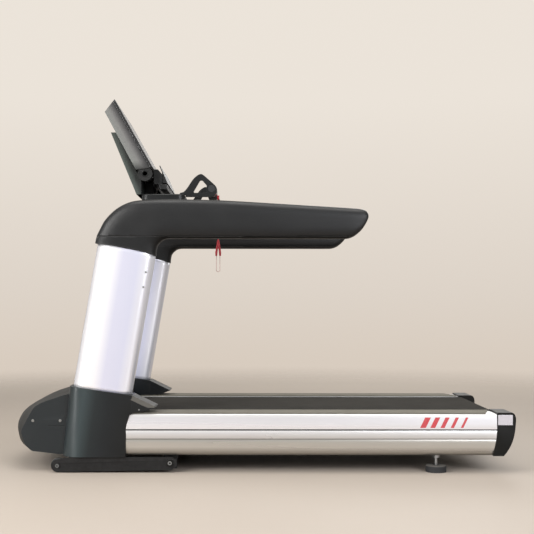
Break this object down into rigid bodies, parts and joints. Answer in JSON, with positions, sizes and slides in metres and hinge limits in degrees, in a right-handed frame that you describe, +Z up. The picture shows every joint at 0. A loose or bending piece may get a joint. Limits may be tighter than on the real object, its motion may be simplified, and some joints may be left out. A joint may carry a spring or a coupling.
{
  "type": "treadmill",
  "caption": "Commercial motorised treadmill with silver leaning uprights, long charcoal handrails, tilted console screen, grip bar with hanging safety key, and a front lift frame for incline.",
  "frame": {"origin": "bottom centre of the overall box, on the floor", "axes": "+X towards the step-on rear end, +Y to the runner's right when facing the console, +Z up"},
  "size_m": [2.18, 0.9, 1.61],
  "materials": {
    "alloy": "extruded heat sink",
    "arm_charcoal": "soft-touch charcoal moulding",
    "belt": "fine woven-texture PVC walking surface",
    "boot_dark": "dark grey moulded cover",
    "cap_black": "fine-grain moulded plastic",
    "cast_dark": "machined cast iron",
    "chrome_plate": "polished contact plate",
    "console_dark": "fine-grain dark moulding",
    "cord_red": "woven cord",
    "deck_board": "waxed dark laminate on fibreboard",
    "display_black": "gloss black surround",
    "display_grey": "mid-grey painted housing",
    "green_plastic": "green moulded plastic",
    "grip_black": "foam-rubber grip",
    "hood_grey": "warm grey moulded cover",
    "insert_silver": "silver gloss insert",
    "key_grey": "mid-grey key",
    "loop_pale": "pale moulded loop",
    "motor_steel": "grey painted motor case",
    "panel_dark": "dark grey moulded panel",
    "rail_silver": "satin anodised extrusion",
    "red_plastic": "red moulded plastic",
    "rubber_black": "matt rubber",
    "screen_glass": "dark switched-off screen",
    "steel_black": "semi-gloss black powder coat",
    "steel_bright": "zinc-plated, satin",
    "strip_grey": "ribbed anti-slip rubber",
    "support_grey": "grey-green moulding",
    "trim_light": "light grey bevelled strip",
    "upright_silver": "satin silver lacquer on aluminium",
    "wheel_tread": "hard black nylon"
  },
  "bodies": {
    "rear_pads": {"foot_pads": "rubber_black"},
    "lift": {"lift_frame": "steel_black", "wheel_bolts": "steel_bright"},
    "wheel_left": {"lift_wheel_left": "wheel_tread"},
    "wheel_right": {"lift_wheel_right": "wheel_tread"},
    "rod": {"actuator_rod": "steel_bright"},
    "front_drum": {"front_roller": "steel_bright"},
    "rear_drum": {"rear_roller": "steel_bright"},
    "rotor": {"motor_rotor": "cast_dark"},
    "display": {"display_shell": "display_grey", "display_bezel": "display_black", "display_glass": "screen_glass", "tablet_ledge": "console_dark", "ledge_lip": "trim_light"},
    "start_key": {"button_start": "green_plastic"},
    "stop_key": {"button_stop": "red_plastic"},
    "speed_key": {"toggle_speed": "key_grey"},
    "incline_key": {"toggle_incline": "key_grey"},
    "emergency_button": {"emergency_stop": "red_plastic"},
    "power_switch": {"power_rocker": "red_plastic"},
    "key_and_lanyard": {"safety_key": "red_plastic", "lanyard_cord": "cord_red", "lanyard_clip": "red_plastic", "clip_loop": "loop_pale"},
    "chassis": {"arm_covers": "arm_charcoal", "arm_frames": "steel_black", "arm_trays": "arm_charcoal", "belly_pan": "panel_dark", "boots": "boot_dark", "cap_inserts": "insert_silver", "console_beam": "steel_black", "dash_panel": "console_dark", "deck_cushions": "rubber_black", "display_neck": "console_dark", "display_support": "support_grey", "drive_belt": "rubber_black", "drive_motor": "motor_steel", "end_caps": "cap_black", "foot_strips": "strip_grey", "foot_studs": "steel_bright", "frame": "steel_black", "grip_bar": "grip_black", "grip_loops": "console_dark", "hood_side_panels": "panel_dark", "keypad_plate": "display_black", "lift_actuator": "motor_steel", "lift_pivot_shaft": "steel_bright", "motor_controller": "alloy", "motor_hood": "hood_grey", "power_inlet": "cap_black", "pulse_sensors": "chrome_plate", "roller_axles": "steel_bright", "running_belt": "belt", "running_deck": "deck_board", "side_rails": "rail_silver", "switch_pod": "console_dark", "tension_bolts": "steel_bright", "trim_screws": "steel_bright", "uprights": "upright_silver", "wing_trims": "trim_light"}
  },
  "joints": [
    {"name": "incline", "type": "hinge", "parent": "rear_pads", "child": "chassis", "pos_m": [0.76, 0, 0.018], "axis": [0, 1, 0], "range_deg": [0, 8.5]},
    {"name": "lift_swing", "type": "hinge", "parent": "chassis", "child": "lift", "pos_m": [-0.374, 0, 0.042], "axis": [0, -1, 0], "range_deg": [0, 29.18]},
    {"name": "wheel_left_spin", "type": "hinge", "parent": "lift", "child": "wheel_left", "pos_m": [-0.851, -0.415, 0.03], "axis": [0, 1, 0], "continuous": true},
    {"name": "wheel_right_spin", "type": "hinge", "parent": "lift", "child": "wheel_right", "pos_m": [-0.851, 0.415, 0.03], "axis": [0, 1, 0], "continuous": true},
    {"name": "actuator_extend", "type": "slide", "parent": "chassis", "child": "rod", "axis": [-1, 0, 0], "range_m": [0, 0.0382]},
    {"name": "front_roller_spin", "type": "hinge", "parent": "chassis", "child": "front_drum", "pos_m": [-0.75, 0, 0.205], "axis": [0, 1, 0], "continuous": true},
    {"name": "rear_roller_spin", "type": "hinge", "parent": "chassis", "child": "rear_drum", "pos_m": [1.01, 0, 0.205], "axis": [0, 1, 0], "continuous": true},
    {"name": "motor_spin", "type": "hinge", "parent": "chassis", "child": "rotor", "pos_m": [-0.898, -0.2, 0.182], "axis": [0, 1, 0], "continuous": true},
    {"name": "display_tilt", "type": "hinge", "parent": "chassis", "child": "display", "pos_m": [-0.495, 0, 1.285], "axis": [0, 1, 0], "range_deg": [0, 10]},
    {"name": "start_press", "type": "slide", "parent": "chassis", "child": "start_key", "axis": [0, 0, -1], "range_m": [0, 0.002], "stiffness_N_per_m": 400},
    {"name": "stop_press", "type": "slide", "parent": "chassis", "child": "stop_key", "axis": [0, 0, -1], "range_m": [0, 0.002], "stiffness_N_per_m": 400},
    {"name": "speed_rock", "type": "hinge", "parent": "chassis", "child": "speed_key", "pos_m": [-0.358, -0.076, 1.192], "axis": [0, 1, 0], "range_deg": [-10, 10], "stiffness_Nm_per_rad": 0.1},
    {"name": "incline_rock", "type": "hinge", "parent": "chassis", "child": "incline_key", "pos_m": [-0.358, 0.076, 1.192], "axis": [0, 1, 0], "range_deg": [-10, 10], "stiffness_Nm_per_rad": 0.1},
    {"name": "emergency_press", "type": "slide", "parent": "chassis", "child": "emergency_button", "axis": [0, 0, -1], "range_m": [0, 0.004], "stiffness_N_per_m": 500},
    {"name": "power_rock", "type": "hinge", "parent": "chassis", "child": "power_switch", "pos_m": [-1.043, 0.205, 0.124], "axis": [0, 1, 0], "range_deg": [0, 10]},
    {"name": "safety_key_pull", "type": "slide", "parent": "chassis", "child": "key_and_lanyard", "axis": [1, 0, 0], "range_m": [0, 0.018]}
  ],
  "couplings": [
    {"joint": "lift_swing", "follows": "incline", "ratio": 3.415},
    {"joint": "actuator_extend", "follows": "incline", "m_per_rad": 0.2534},
    {"joint": "rear_roller_spin", "follows": "front_roller_spin", "ratio": 1},
    {"joint": "motor_spin", "follows": "front_roller_spin", "ratio": 1.44}
  ]
}
